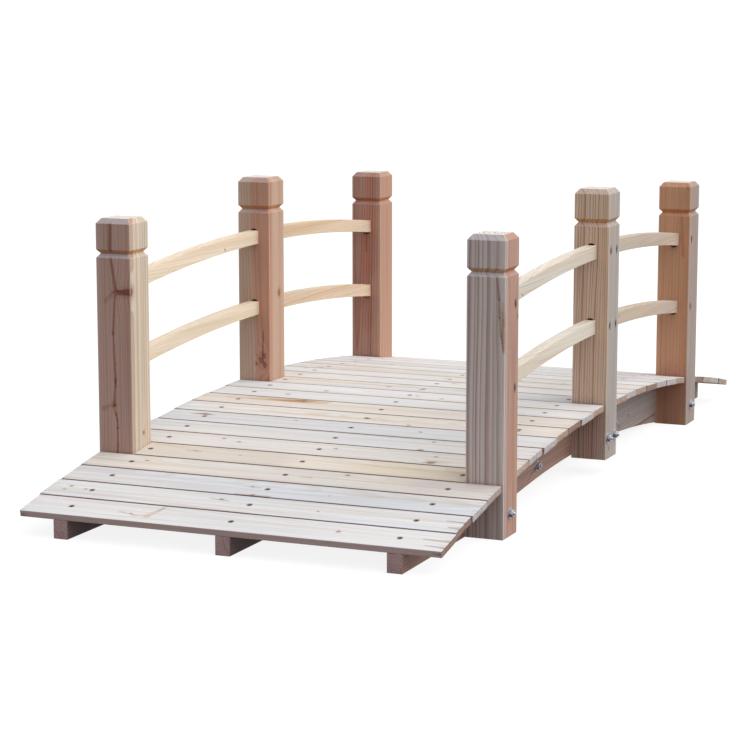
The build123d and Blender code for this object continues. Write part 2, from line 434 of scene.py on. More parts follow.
def timber(name, matrix, grain, knots=(), veins=(), painted_light_and_wear=None):
    """Wood cut for one piece. Grain, knots and veins are in the piece's own frame, X along the grain."""
    material, s, surface = new_material(name)
    coordinates = s.node("TexCoord")
    mapping = s.node("Mapping", vector_type="TEXTURE")
    s.feed(mapping.inputs["Vector"], coordinates.outputs["Object"])
    mapping.inputs["Location"].default_value = matrix.to_translation()
    mapping.inputs["Rotation"].default_value = matrix.to_euler()
    place = mapping.outputs[0]
    facing = s.dot(coordinates.outputs["Normal"], tuple(matrix.to_3x3().col[0]))
    end = s.ease(s.calc("ABSOLUTE", facing), *END_TURN)

    near, push = FAR_FROM_KNOTS, 0.0
    for start, run, radius in knots:
        branch = s.group(BRANCH, Place=place, Start=start, Run=run, Radius=radius)
        near = s.calc("MINIMUM", near, branch["Near"])
        push = s.calc("ADD", push, branch["Push"])
    grain = {"Heart Blur": 0.1, **grain}
    wood = s.group(TIMBER, Place=place, End=end, Near=near, Push=push, **grain)
    colour = wood["Color"]
    for start, run, radius, tone in veins:
        vein = s.group(BRANCH, Place=place, Start=start, Run=run, Radius=radius)
        colour = s.mix(s.ease(vein["Near"], 0.5, 1.7, 0.9, 0.0), colour, tone, "MULTIPLY")
    # Painted light and shade, with the planks' wear, laid over the wood
    if painted_light_and_wear:
        colour = painted_light_and_wear(s, place, facing, colour)
    s.feed(surface.inputs["Base Color"], colour)
    s.feed(surface.inputs["Roughness"], wood["Roughness"])
    s.bump(surface, wood["Height"], 0.35, 0.6 * MM)
    surface.inputs["Specular IOR Level"].default_value = 0.3
    return material


def shade(piece, material):
    """Gives a piece its material in its own slots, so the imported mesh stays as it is."""
    if not piece.material_slots:
        piece.data.materials.append(material)
    for slot in piece.material_slots:
        slot.link = "OBJECT"
        slot.material = material


def seed_of(key):
    """A far corner of the noise for each piece, the same on every run."""
    chance = random.Random(key)
    return tuple(chance.uniform(-40, 40) for _ in range(3))


def blend(first, second, share):
    return tuple(a + (b - a) * share for a, b in zip(first, second))


def mm(*values):
    return tuple(value * MM for value in values)


def through_knot(along, across, radius):
    """A branch that comes up through a plank from below."""
    return mm(along, across, -34), mm(3, 2, 38), radius * MM


def smear(tone, along, across, length, width, count):
    """Thin overlapping streaks on a plank's top face that read as one ragged stain."""
    chance = random.Random(along)
    streaks = []
    for _ in range(count):
        run = length * chance.uniform(0.25, 0.6)
        start = along + chance.uniform(0, length - run)
        offset = across + chance.uniform(-width / 2, width / 2)
        drift = chance.uniform(-0.03, 0.03) * run
        radius = width * chance.uniform(0.12, 0.28)
        streaks.append((mm(start, offset, 0), mm(run, drift, 0), radius * MM, tone))
    return tuple(streaks)


def line(tone, radius, *points):
    """A vein through points given as height and right of centre, on a post's front face."""
    places = [mm(up, right, -POST_SIZE / MM / 2) for up, right in points]
    pairs = zip(places, places[1:])
    return [(low, tuple(b - a for a, b in zip(low, high)), radius * MM, tone) for low, high in pairs]


# Deck planks: pale flat-sawn boards, some warmer and some greyer than the rest
DECK_SAP = (0.815, 0.795, 0.805, 1)
DECK_WARM = (0.785, 0.685, 0.590, 1)
DECK_GREY = (0.730, 0.722, 0.750, 1)
DECK_LATE = (0.84, 0.77, 0.70, 1)
DECK_KNOT = (0.250, 0.160, 0.120, 1)
PLANK_SEED = 100
LAST_MATCHED_PLANK = 10

# By plank number: shares of the warm and the grey tone, and a factor on the whole
WARM_PLANKS = {4: 0.65, 5: 0.85, 6: 0.4, 10: 0.7, 16: 0.5, 22: 0.6}
GREY_PLANKS = {1: 0.35, 2: 0.55, 3: 1.0, 7: 0.5, 8: 0.7, 11: 0.4, 18: 0.7, 24: 0.6}
# Painted light: the factors above one on planks 5, 9, 11 and 12 lift the deck where the right-hand posts
# and rails shade it
PLANK_BRIGHTNESS = {5: 1.04, 8: 0.97, 9: 1.03, 11: 1.03, 12: 1.03}

# Knots by plank number: millimetres along and across it, radius
DECK_KNOTS = {
    1: ((-240, -10, 2.5), (247, 0, 4)),
    2: ((-451, 10, 3.5), (-458, -10, 3), (-409, 0, 3), (-78, 14, 4), (161, -3, 2.5)),
    3: ((-43, 5, 3), (-21, -41, 4), (149, -8, 2)),
    5: ((-281, 9, 2.5), (-163, 4, 2)),
    6: ((-257, 18, 4), (-210, 3, 4), (33, 12, 4), (286, -32, 8), (281, 11, 4)),
    7: ((228, -42, 6), (234, 26, 4)),
    8: ((172, 6, 4), (-158, 22, 3), (-401, 19, 6)),
    10: ((-225, 30, 5),),
}

# End grain of the planks, by number: sky-grey, rust, pinkish or tan
LAVENDER_END = (0.600, 0.575, 0.600, 1)
RUST_END = (0.350, 0.250, 0.210, 1)
PINK_END = (0.580, 0.470, 0.420, 1)
TAN_END = (0.510, 0.395, 0.315, 1)
PLANK_ENDS = {
    LAVENDER_END: (3, 7, 8, 11, 15, 18, 19, 24),
    RUST_END: (1, 2, 10, 17, 22),
    PINK_END: (4, 5, 6, 13, 21, 23),
    TAN_END: (9, 12, 14, 16, 20, 25),
}

# Streaks on the planks: start and run on the top face, radius, tone
DECK_STREAKS = {
    1: (
        (mm(-176, 40, 0), mm(-20, -56, 0), 6 * MM, STAIN),
        (mm(-178, 36, 0), mm(-6, -18, 0), 3 * MM, STAIN),
        (mm(-192, -12, 0), mm(-34, -4, 0), 5 * MM, STAIN),
        (mm(-226, -14, 0), mm(-40, 10, 0), 3 * MM, FAINT),
        (mm(440, 6, 0), mm(60, -4, 0), 3 * MM, DUSK),
        (mm(455, -24, 0), mm(45, -3, 0), 3 * MM, DUSK),
    ),
    2: (
        (mm(455, 12, 0), mm(45, -3, 0), 3 * MM, DUSK),
        (mm(470, -20, 0), mm(30, -3, 0), 4 * MM, DUSK),
        (mm(-100, 14, 0), mm(40, -3, 0), 4 * MM, FAINT),
    ),
    3: (
        (mm(-60, -42, 0), mm(80, 0, 0), 4 * MM, DUSK),
        (mm(-60, 6, 0), mm(40, -2, 0), 3 * MM, FAINT),
    ),
    4: (
        (mm(40, -6, 0), mm(24, 2, 0), 3 * MM, AMBER),
        (mm(340, 0, 0), mm(160, 0, 0), 60 * MM, COOL),
    ),
    5: (
        (mm(-300, 10, 0), mm(34, 0, 0), 5 * MM, FAINT),
        (mm(-400, 0, 0), mm(300, 0, 0), 60 * MM, DULL),
        # Painted light: a warm lift on the right end of plank 5, beside the front right post
        (mm(180, 0, 0), mm(240, 0, 0), 60 * MM, PAINTED_STRAW_LIGHT),
    ),
    6: ((mm(268, -32, 0), mm(26, 8, 0), 5 * MM, FAINT),),
    8: smear(STAIN, -436, 18, 70, 18, 7) + smear(OCHRE, -412, 18, 30, 8, 3),
    10: smear(STAIN, -450, 26, 300, 26, 12) + smear(OCHRE, -262, 29, 80, 14, 4),
}


# Wear and painted shade of the planks
SCREW_STAIN_AND_SHADE = (0.42, 0.29, 0.24, 1)
RING_INNER = 5 * MM
RING_OUTER = 9 * MM
JOINT_DIRT_AND_SHADE = (0.30, 0.22, 0.20, 1)
JOINT_SHADE_DEPTH = (-4 * MM, -2 * MM)
SIDE_SHADE_AND_DIRT = (0.72, 0.54, 0.51, 1)
SIDE_SHADE_DEPTH = (-4 * MM, -1.5 * MM)
FREE_SIDE_SHADE_DEPTH = (-1.6 * MM, -0.3 * MM)
SPLIT_TONE = (0.52, 0.40, 0.36, 1)
SPLIT_REACH = (468 * MM, 500 * MM)


def deck_wear_and_shade(s, place, facing, colour, outer):
    """Screw stains with painted shade round the pockets, dirt with painted shade along the joints and on
    the plank sides, and split ends.

    outer is -1 or 1 where the front or the back side is free, and 0 between two planks.
    """
    where = s.parts(place)
    across = s.calc("ABSOLUTE", where["X"])
    side = s.calc("MINIMUM", across, s.calc("ABSOLUTE", s.calc("SUBTRACT", across, SCREW_LINE)))
    away = s.calc("SQRT", s.calc("ADD", s.calc("POWER", side, 2.0), s.calc("POWER", where["Y"], 2.0)))
    # Painted shade with a stain: a dark brown ring round each screw's pocket
    ring = s.ease(away, RING_INNER, RING_OUTER, 0.95, 0.0)
    colour = s.mix(ring, colour, SCREW_STAIN_AND_SHADE, "MULTIPLY")

    # Painted shade with dirt: the top darkens at its rim, down into each joint
    edge = s.calc("MULTIPLY", where["Y"], -outer) if outer else s.calc("ABSOLUTE", where["Y"])
    rim = s.ease(edge, PLANK_WIDTH / 2 - RIM_WIDTH, PLANK_WIDTH / 2 - RIM_WIDTH / 4)
    rim = s.calc("MULTIPLY", rim, s.ease(where["Z"], *JOINT_SHADE_DEPTH))
    colour = s.mix(rim, colour, JOINT_DIRT_AND_SHADE, "MULTIPLY")

    # Painted shade with dirt on the plank sides below the top, starting nearer the top on a free side
    lengthwise = s.ease(s.calc("ABSOLUTE", facing), *END_TURN, 1.0, 0.0)
    depth = FREE_SIDE_SHADE_DEPTH if outer else SIDE_SHADE_DEPTH
    sawn = s.calc("MULTIPLY", s.ease(where["Z"], *depth, 1.0, 0.0), lengthwise)
    colour = s.mix(sawn, colour, SIDE_SHADE_AND_DIRT, "MULTIPLY")

    fibres = s.noise(place, 2.0, 0.6, (4, 170, 60))
    split = s.calc("MULTIPLY", s.ease(across, *SPLIT_REACH), s.ease(fibres, 0.54, 0.62))
    return s.mix(s.calc("MULTIPLY", split, 0.9), colour, SPLIT_TONE, "MULTIPLY")


def deck_timber(number):
    chance = random.Random(PLANK_SEED + number)
    sap = blend(DECK_SAP, DECK_WARM, WARM_PLANKS.get(number, chance.uniform(0, 0.15)))
    sap = blend(sap, DECK_GREY, GREY_PLANKS.get(number, chance.uniform(0, 0.2)))
    sap = tuple(part * PLANK_BRIGHTNESS.get(number, 1) for part in sap[:3]) + (1,)
    grain = {
        "Seed": seed_of(number),
        "Pith": mm(0, chance.uniform(-70, 70), -chance.uniform(25, 110)),
        "Lean": (0, chance.uniform(-0.05, 0.05), chance.uniform(-0.05, 0.05)),
        "Wander": 0.022,
        "Spacing": chance.uniform(3.2, 5.4) * MM,
        "Contrast": chance.uniform(0.45, 0.85),
        "Heart Contrast": 0.8,
        "Heart Radius": chance.uniform(20, 60) * MM,
        "Sap": sap,
        "Heart": blend(sap, DECK_WARM, 0.6),
        "Late": DECK_LATE,
        "Halo": 0.3,
        "Knot": DECK_KNOT,
        "End Tone": next(tone for tone, numbers in PLANK_ENDS.items() if number in numbers),
    }
    knots = [through_knot(*knot) for knot in DECK_KNOTS.get(number, ())]
    if number > LAST_MATCHED_PLANK or not knots:
        for _ in range(chance.choice((1, 2, 3, 4))):
            along, across = chance.uniform(-470, 470), chance.uniform(-38, 38)
            knots.append(through_knot(along, across, chance.uniform(2.5, 6)))
    streaks = DECK_STREAKS.get(number, ())
    light_and_wear = partial(deck_wear_and_shade, outer={1: -1, PLANK_COUNT: 1}.get(number, 0))
    return timber(f"deck_timber_{number:02d}", plank_matrix(number), grain, knots, streaks, light_and_wear)


# Posts: each is cut round its own pith, given from the post's centre line, right and to the back
CREAM = (0.700, 0.600, 0.490, 1)
BEIGE = (0.490, 0.440, 0.415, 1)
MAUVE = (0.500, 0.325, 0.280, 1)
SALMON = (0.520, 0.315, 0.245, 1)
PINK_GREY = (0.605, 0.515, 0.495, 1)
TAN = (0.730, 0.525, 0.395, 1)
RED_BROWN = (0.400, 0.190, 0.130, 1)
ORANGE_BROWN = (0.620, 0.325, 0.195, 1)
BROWN_LATE = (0.62, 0.49, 0.45, 1)
PALE_TOP = (0.840, 0.810, 0.770, 1)
DARK_KNOT = (0.160, 0.070, 0.055, 1)
RED_KNOT = (0.205, 0.072, 0.066, 1)
POST_GRAINS = {
    "front_left": {
        "Pith": mm(0, -4, -43),
        "Lean": (0, 0, 0),
        "Wander": 0.005,
        "Spacing": 8.5 * MM,
        "Contrast": 0.95,
        "Heart Contrast": 0.75,
        "Heart Radius": 48 * MM,
        "Heart Blur": 0.02,
        "Sap": CREAM,
        "Heart": MAUVE,
        "Late": (0.80, 0.66, 0.56, 1),
    },
    "front_right": {
        "Pith": mm(0, 60, 34),
        "Lean": (0, 0.012, -0.010),
        "Spacing": 7.5 * MM,
        "Contrast": 1.0,
        "Heart Contrast": 0.35,
        "Heart Radius": 64 * MM,
        "Heart Blur": 0.12,
        "Sap": PINK_GREY,
        "Heart": SALMON,
        "Late": BROWN_LATE,
    },
    "middle_left": {
        "Pith": mm(0, 36, -84),
        "Lean": (0, -0.01, 0.01),
        "Wander": 0.010,
        "Spacing": 6.5 * MM,
        "Contrast": 0.6,
        "Heart Contrast": 0.5,
        "Heart Radius": 49 * MM,
        "Sap": (0.600, 0.415, 0.315, 1),
        "Heart": (0.560, 0.290, 0.205, 1),
        "Late": (0.74, 0.58, 0.50, 1),
    },
    "middle_right": {
        "Pith": mm(0, -120, -160),
        "Wander": 0.016,
        "Spacing": 4.6 * MM,
        "Contrast": 0.35,
        "Heart Contrast": 1.0,
        "Heart Radius": 199 * MM,
        "Heart Blur": 0.03,
        "Sap": BEIGE,
        "Heart": TAN,
        "Late": (0.52, 0.42, 0.36, 1),
    },
    "back_left": {
        "Pith": mm(0, -30, -60),
        "Spacing": 7 * MM,
        "Contrast": 0.5,
        "Heart Contrast": 0.7,
        "Heart Radius": 58 * MM,
        "Heart Blur": 0.2,
        "Sap": (0.570, 0.335, 0.240, 1),
        "Heart": (0.490, 0.270, 0.215, 1),
        "Late": (0.70, 0.50, 0.42, 1),
    },
    "back_right": {
        "Pith": mm(0, -50, -60),
        "Lean": (0, 0.01, 0),
        "Spacing": 8 * MM,
        "Contrast": 0.4,
        "Heart Contrast": 0.35,
        "Heart Radius": 92 * MM,
        "Heart Blur": 0.08,
        "Sap": (0.420, 0.335, 0.300, 1),
        "Heart": ORANGE_BROWN,
        "Late": (0.72, 0.54, 0.46, 1),
    },
}

# Knots in the posts: start and run (up, right, back from the centre line at the ground), radius
POST_KNOTS = {
    "front_left": (
        (mm(496, 4, -43), mm(4, 44, 3), 8 * MM),
        (mm(231, -4, -34), mm(2, 0, -12), 4 * MM),
        (mm(158, 10, 9), mm(6, 40, 0), 3.6 * MM),
    ),
    "front_right": (
        (mm(480, 30, 36), mm(4, 20, 3), 4 * MM),
    ),
    "middle_left": (
        (mm(232, 16, -20), mm(0, 4, -28), 7 * MM),
        (mm(243, 23, -20), mm(0, 4, -28), 6 * MM),
        (mm(220, 25, -20), mm(0, 4, -28), 6 * MM),
        (mm(222, 7, -20), mm(0, -2, -28), 3.5 * MM),
        (mm(399, 26, 12), mm(6, 22, 2), 7 * MM),
    ),
    "middle_right": (
        (mm(64, 20, -17), mm(2, 30, 0), 4 * MM),
    ),
    "back_left": (
        (mm(300, -10, 10), mm(4, -36, 0), 7 * MM),
    ),
    "back_right": (
        (mm(430, -12, 16), mm(6, 4, 34), 7 * MM),
    ),
}


# Veins in the posts: the pith of one, a cathedral's edge and rosy streaks in another, stains
# and heart lines in the rest
POST_VEINS = {
    "front_left": (
        line(PITH_RED, 4.2, (707, -5), (586, -7), (508, 4))
        + line(FAINT, 3.0, (707, -12), (600, -12))
        + line(PITH_RED, 3.2, (488, 3), (402, -3), (290, 1), (234, -3))
        + line(PITH_RED, 2.6, (224, -3), (212, 1), (198, 4), (180, 5), (120, 4))
        + line(SPIKE_RED, 5.0, (499, 10), (498, 42))
        + line(FAINT, 4.0, (500, 0), (476, -22))
        + line(FAINT, 5.0, (231, -14), (224, -32))
        + line(DUSK, 2.6, (296, 1), (278, 1))
    ),
    "front_right": (
        line(DUSK, 2.6, (590, 23), (530, 31), (490, 32), (450, 36), (415, 42))
        + line(STAIN, 6.5, (520, 39), (480, 41))
        + line(STAIN, 6.0, (500, 39), (440, 42))
        + line(AMBER, 4.5, (484, 40), (424, 43))
        + [
            (mm(600, 44, -20), mm(-230, 0, 26), 11 * MM, ROSY),
            (mm(420, 44, 24), mm(-300, 0, -30), 12 * MM, ROSY),
            (mm(200, 44, -30), mm(-200, 0, 10), 9 * MM, ROSY),
        ]
    ),
    "middle_left": line(PITH_RED, 2.4, (310, 25), (246, 23)),
    # Painted shade darkening the foot of the post
    "middle_right": line(POST_FOOT_SHADE, 42, (-10, 0), (130, 0)),
    "back_left": (
        line(RUSSET, 20, (720, 12), (400, 12))
        + line(RUSSET, 16, (520, -6), (230, 4))
        + line(FAINT, 2.6, (690, 20), (120, 13))
        + line(DUSK, 1.8, (530, 1), (440, 0))
    ),
    "back_right": (
        line(DUSK, 2.0, (700, 4), (655, 36))
        + line(FAINT, 4.0, (590, 20), (470, 26))
        # Painted shade darkening the foot of the post
        + line(POST_FOOT_SHADE, 42, (-10, 0), (110, 0))
    ),
}

# How strongly painted grey sky sheen covers each post's chamfers across the bridge
CHAMFER_SKY_SHEEN = {
    "front_left": 0.50,
    "front_right": 0.40,
    "middle_left": 0.25,
    "middle_right": 0.20,
    "back_left": 0.15,
    "back_right": 0.0,
}
SKY_SHEEN_GREY = (0.540, 0.515, 0.560, 1)
ARRIS_HIGHLIGHT = (0.80, 0.72, 0.64, 1)
ARRIS_HIGHLIGHT_WIDTH = 4 * MM
GROOVE_UNDERSIDE_SHADE = (1.0, 0.74, 0.46, 1)
GROOVES_ABOVE = (300 * MM, 310 * MM)


def post_painted_light(s, place, facing, colour, sky_sheen):
    """Painted highlights on the arrises, painted cool grey sky sheen on the chamfers across the bridge,
    painted warm shade under the groove's lip.
    """
    where = s.parts(place)
    # Painted highlight: a paler line along each arris
    near = s.calc("MINIMUM", s.calc("ABSOLUTE", where["Y"]), s.calc("ABSOLUTE", where["Z"]))
    edge = s.ease(near, POST_SIZE / 2 - ARRIS_HIGHLIGHT_WIDTH, POST_SIZE / 2, 0.0, 0.35)
    colour = s.mix(edge, colour, ARRIS_HIGHLIGHT)
    # Painted sky sheen: the chamfers across the bridge turn a cool grey
    turned = s.calc("ABSOLUTE", s.parts(s.node("TexCoord").outputs["Normal"])["Y"])
    sloped = s.calc("MULTIPLY", s.ease(facing, 0.45, 0.65), s.ease(turned, 0.5, 0.65))
    colour = s.mix(s.calc("MULTIPLY", sloped, sky_sheen), colour, SKY_SHEEN_GREY)
    # Painted shade: a warmer, darker tone on the faces under the groove's lip
    underside_shade = s.ease(facing, -0.65, -0.45, 1.0, 0.0)
    above = s.ease(where["X"], *GROOVES_ABOVE)
    return s.mix(s.calc("MULTIPLY", underside_shade, above), colour, GROOVE_UNDERSIDE_SHADE, "MULTIPLY")


def rail_screw_marks(row, side):
    """Near-black marks round the screws in a post's outer face."""
    marks = []
    for end, step in ENDS.items():
        if row == end:
            continue
        y = step * MIDDLE_SCREW if row == "middle" else ROWS[row] * CORNER_SCREW
        back = y - ROWS[row] * POST_SPACING
        for radius in (UPPER_RAIL_RADIUS, LOWER_RAIL_RADIUS):
            spot = (arc_height(radius, y) - SCREW_MARK_LENGTH / 2, SIDES[side] * POST_SIZE / 2, back)
            marks.append((spot, (SCREW_MARK_LENGTH, 0, 0), SCREW_MARK_RADIUS, SCREW_HOLE))
    return marks


def post_timber(row, side, place):
    name = f"{row}_{side}"
    grain = {
        "Lean": (0, 0.01, 0.01),
        "Wander": 0.012,
        **POST_GRAINS[name],
        "Seed": seed_of(name),
        "Halo": 0.6,
        "Knot": RED_KNOT if name == "front_left" else DARK_KNOT,
        "End Tone": PALE_TOP,
    }
    veins = POST_VEINS[name] + rail_screw_marks(row, side)
    light_and_wear = partial(post_painted_light, sky_sheen=CHAMFER_SKY_SHEEN[name])
    return timber(f"post_timber_{name}", place, grain, POST_KNOTS[name], veins, light_and_wear)


# Rails and understructure
RAIL_TONES = {
    "front_left": (0.890, 0.750, 0.590, 1),
    "back_left": (0.790, 0.625, 0.470, 1),
    "front_right": (0.810, 0.740, 0.655, 1),
    "back_right": (0.645, 0.525, 0.430, 1),
}
RAIL_WARM = (0.780, 0.610, 0.450, 1)
RAIL_LATE = (0.84, 0.73, 0.60, 1)
STRINGER_RED = (0.430, 0.290, 0.250, 1)
STRINGER_GREY = (0.440, 0.400, 0.385, 1)
STRINGER_LATE = (0.66, 0.50, 0.44, 1)
STRINGER_END = (0.515, 0.350, 0.358, 1)
# Painted shade for the right-hand sides of the left and middle stringers
STRINGER_PAINTED_SHADE = (0.45, 0.46, 0.54, 1)
STRINGER_GREYNESS = {"right_back": 0.85}
USUAL_GREYNESS = 0.15
SPLICE_TAN = (0.560, 0.420, 0.300, 1)
BROWN_KNOT = (0.200, 0.110, 0.075, 1)


def rail_timber(name, place, tone):
    chance = random.Random(name)
    grain = {
        "Seed": seed_of(name),
        "Pith": mm(0, chance.uniform(-60, 60), chance.uniform(-120, -70)),
        "Lean": (0, 0, chance.uniform(-0.03, 0.03)),
        "Wander": 0.020,
        "Spacing": chance.uniform(4.5, 6.5) * MM,
        "Contrast": chance.uniform(0.5, 0.8),
        "Heart Contrast": 0.8,
        "Heart Radius": chance.uniform(30, 70) * MM,
        "Sap": tone,
        "Heart": blend(tone, RAIL_WARM, 0.4),
        "Late": RAIL_LATE,
        "Halo": 0.6,
        "Knot": BROWN_KNOT,
        "End Tone": tone,
    }
    start = mm(chance.uniform(-250, 250), -20, chance.uniform(-60, 60))
    knots = [(start, mm(2, 40, 2), chance.uniform(2, 4) * MM)]
    return timber(f"rail_timber_{name}", place, grain, knots)


def stringer_painted_shade(s, place, facing, colour):
    """Painted shade on the right-hand side, as the photo shows it in shadow on the left and middle
    stringers.
    """
    right = s.parts(s.node("TexCoord").outputs["Normal"])["X"]
    return s.mix(s.ease(right, 0.3, 0.8), colour, STRINGER_PAINTED_SHADE, "MULTIPLY")


def stringer_timber(name, place, greyness):
    chance = random.Random(name)
    sap = blend(STRINGER_RED, STRINGER_GREY, greyness)
    outer = name.startswith("right")
    off_centre, below = chance.uniform(-30, 30), chance.uniform(-90, -60)
    grain = {
        "Seed": seed_of(name),
        "Pith": mm(0, off_centre, below) if outer else mm(0, below, off_centre),
        "Lean": (0, 0, chance.uniform(-0.02, 0.02)),
        "Wander": 0.024,
        "Spacing": chance.uniform(5, 7) * MM,
        "Contrast": chance.uniform(0.6, 0.9),
        "Heart Contrast": 0.8,
        "Heart Radius": chance.uniform(60, 90) * MM,
        "Sap": sap,
        "Heart": blend(sap, RED_BROWN, 0.5 * (1 - greyness)),
        "Late": STRINGER_LATE,
        "Halo": 0.5,
        "Knot": BROWN_KNOT,
        "End Tone": STRINGER_END,
    }
    knots = []
    for _ in range(3):
        height = chance.uniform(-50, 40)
        start = mm(chance.uniform(-500, 500), -30, height)
        knots.append((start, mm(4, 60, 4), chance.uniform(4, 9) * MM))
    veins = ((mm(-560, -18, -70), mm(900, 0, 20), 4 * MM, PITH_RED),) if greyness > 0.5 else ()
    light_and_wear = None if outer else stringer_painted_shade
    return timber(f"stringer_timber_{name}", place, grain, knots, veins, light_and_wear)


def splice_timber(name, place):
    chance = random.Random(name)
    grain = {
        "Seed": seed_of(name),
        "Pith": mm(0, 20, -70),
        "Lean": (0, 0, 0.02),
        "Wander": 0.02,
        "Spacing": 5 * MM,
        "Contrast": 0.7,
        "Heart Contrast": 0.7,
        "Heart Radius": 60 * MM,
        "Sap": SPLICE_TAN,
        "Heart": STRINGER_RED,
        "Late": STRINGER_LATE,
        "Halo": 0.5,
        "Knot": BROWN_KNOT,
        "End Tone": STRINGER_END,
    }
    knots = [(mm(chance.uniform(-250, 250), -30, chance.uniform(-20, 20)), mm(4, 60, 4), 6 * MM)]
    return timber(f"splice_timber_{name}", place, grain, knots)


# Metals
def metal(name, colour, metallic, roughness, spots, underside_shade):
    """Spotted and scratched metal, with painted shade that darkens its undersides."""
    material, s, surface = new_material(name)
    coordinates = s.node("TexCoord")
    place = coordinates.outputs["Object"]
    cloud = s.noise(place, 3.0, 0.6, (220, 220, 220))
    scratch = s.noise(place, 3.0, 0.7, (900, 2600, 2600))
    tone = s.mix(s.ease(cloud, 0.45, 0.75), colour, spots)
    upward = s.parts(coordinates.outputs["Normal"])["Z"]
    # Painted shade: faces turned downward take the darker tone
    tone = s.mix(s.ease(upward, -0.35, 0.55, 1.0, 0.0), tone, underside_shade, "MULTIPLY")
    s.feed(surface.inputs["Base Color"], tone)
    surface.inputs["Metallic"].default_value = metallic
    s.feed(surface.inputs["Roughness"], s.calc("MULTIPLY_ADD", cloud, 0.3, roughness))
    s.bump(surface, scratch, 0.2, 0.2 * MM)
    return material


def zinc():
    return metal(
        "zinc",
        colour=(0.72, 0.75, 0.83, 1),
        metallic=0.80,
        roughness=0.22,
        spots=(0.38, 0.39, 0.43, 1),
        underside_shade=(0.22, 0.205, 0.23, 1),
    )


def dark_screw():
    return metal(
        "dark_screw",
        colour=(0.075, 0.050, 0.045, 1),
        metallic=0.7,
        roughness=0.34,
        spots=(0.16, 0.10, 0.06, 1),
        underside_shade=(0.8, 0.8, 0.8, 1),
    )


# Fastener meshes: closed rings of points, joined in order and capped at both ends
def circle(radius, height):
    turns = [2 * math.pi * n / ROUND for n in range(ROUND)]
    return [(radius * math.cos(turn), radius * math.sin(turn), height) for turn in turns]


def hexagon(height, limit):
    """A nut's outline, rounded off at a limiting radius as its chamfer does."""
    ring = []
    for n in range(ROUND):
        turn = 2 * math.pi * n / ROUND
        to_flat = (turn % (math.pi / 3)) - math.pi / 6
        radius = min(NUT_FLATS / 2 / math.cos(to_flat), limit)
        ring.append((radius * math.cos(turn), radius * math.sin(turn), height))
    return ring


def cross(arm, width, height):
    """Outline of a cross recess, on the same number of points as the circles."""
    lean = math.atan2(width, arm)
    turns = (-lean, -lean / 2, 0, lean / 2, lean, math.pi / 4)
    ring = []
    for quarter in range(4):
        for turn in turns:
            radius = math.hypot(width, width) if turn == math.pi / 4 else arm / math.cos(turn)
            angle = quarter * math.pi / 2 + turn
            ring.append((radius * math.cos(angle), radius * math.sin(angle), height))
    return ring


def screw_head():
    top = -HEAD_SINK
    return [[
        circle(SCREW_NECK, -POCKET_DEPTH),
        circle(HEAD_RADIUS, top - 0.5 * MM),
        circle(HEAD_RADIUS, top - 0.15 * MM),
        circle(HEAD_RADIUS - 0.25 * MM, top),
        cross(RECESS_ARM, RECESS_WIDTH, top),
        cross(RECESS_ARM - 0.9 * MM, RECESS_WIDTH - 0.25 * MM, top - RECESS_DEPTH),
    ]]


def washer(low, high):
    hole = BOLT_RADIUS + 0.2 * MM
    return [
        circle(hole, low),
        circle(WASHER_RADIUS - WASHER_RIM, low),
        circle(WASHER_RADIUS, low + WASHER_RIM),
        circle(WASHER_RADIUS, high - WASHER_RIM),
        circle(WASHER_RADIUS - WASHER_RIM, high),
        circle(hole, high),
    ]


def hex_solid(low, high, inner):
    corner = NUT_FLATS / 2 / math.cos(math.pi / 6)
    chamfered = NUT_FLATS / 2 * 0.98
    return [
        hexagon(low, chamfered),
        hexagon(low + NUT_RIM, corner),
        hexagon(high - NUT_RIM, corner),
        hexagon(high, chamfered),
        circle(inner, high),
    ]


def thread(low, high):
    """The bolt's end: one helix ridge, and a chamfered tip."""
    rings = []
    steps = int((high - low) / (THREAD_PITCH / 2))
    for step in range(steps):
        ring = []
        for n in range(ROUND):
            turn = 2 * math.pi * n / ROUND
            phase = (step / 2 + n / ROUND) % 1.0
            depth = THREAD_DEPTH * abs(2 * phase - 1)
            radius = BOLT_RADIUS - depth
            ring.append((radius * math.cos(turn), radius * math.sin(turn), low + step * THREAD_PITCH / 2))
        rings.append(ring)
    rings.append(circle(BOLT_RADIUS - THREAD_DEPTH, high - TIP_CHAMFER))
    rings.append(circle(BOLT_RADIUS - THREAD_DEPTH - TIP_CHAMFER, high))
    return rings


def bolt(grip):
    """A hex bolt with two washers and a nut, through a grip below the outer face at height nought."""
    head_low = -grip - WASHER_THICKNESS
    nut_low = WASHER_THICKNESS
    shank = [circle(BOLT_RADIUS, head_low), circle(BOLT_RADIUS, nut_low)]
    head = [ring[::-1] for ring in hex_solid(-head_low, -head_low + HEAD_HEIGHT, 1 * MM)]
    head = [[(x, y, -z) for x, y, z in ring] for ring in head]
    return [
        washer(0, WASHER_THICKNESS),
        washer(head_low, -grip),
        hex_solid(nut_low, nut_low + NUT_HEIGHT, BOLT_RADIUS),
        shank + thread(nut_low + THREAD_PITCH, BOLT_END),
        head,
    ]


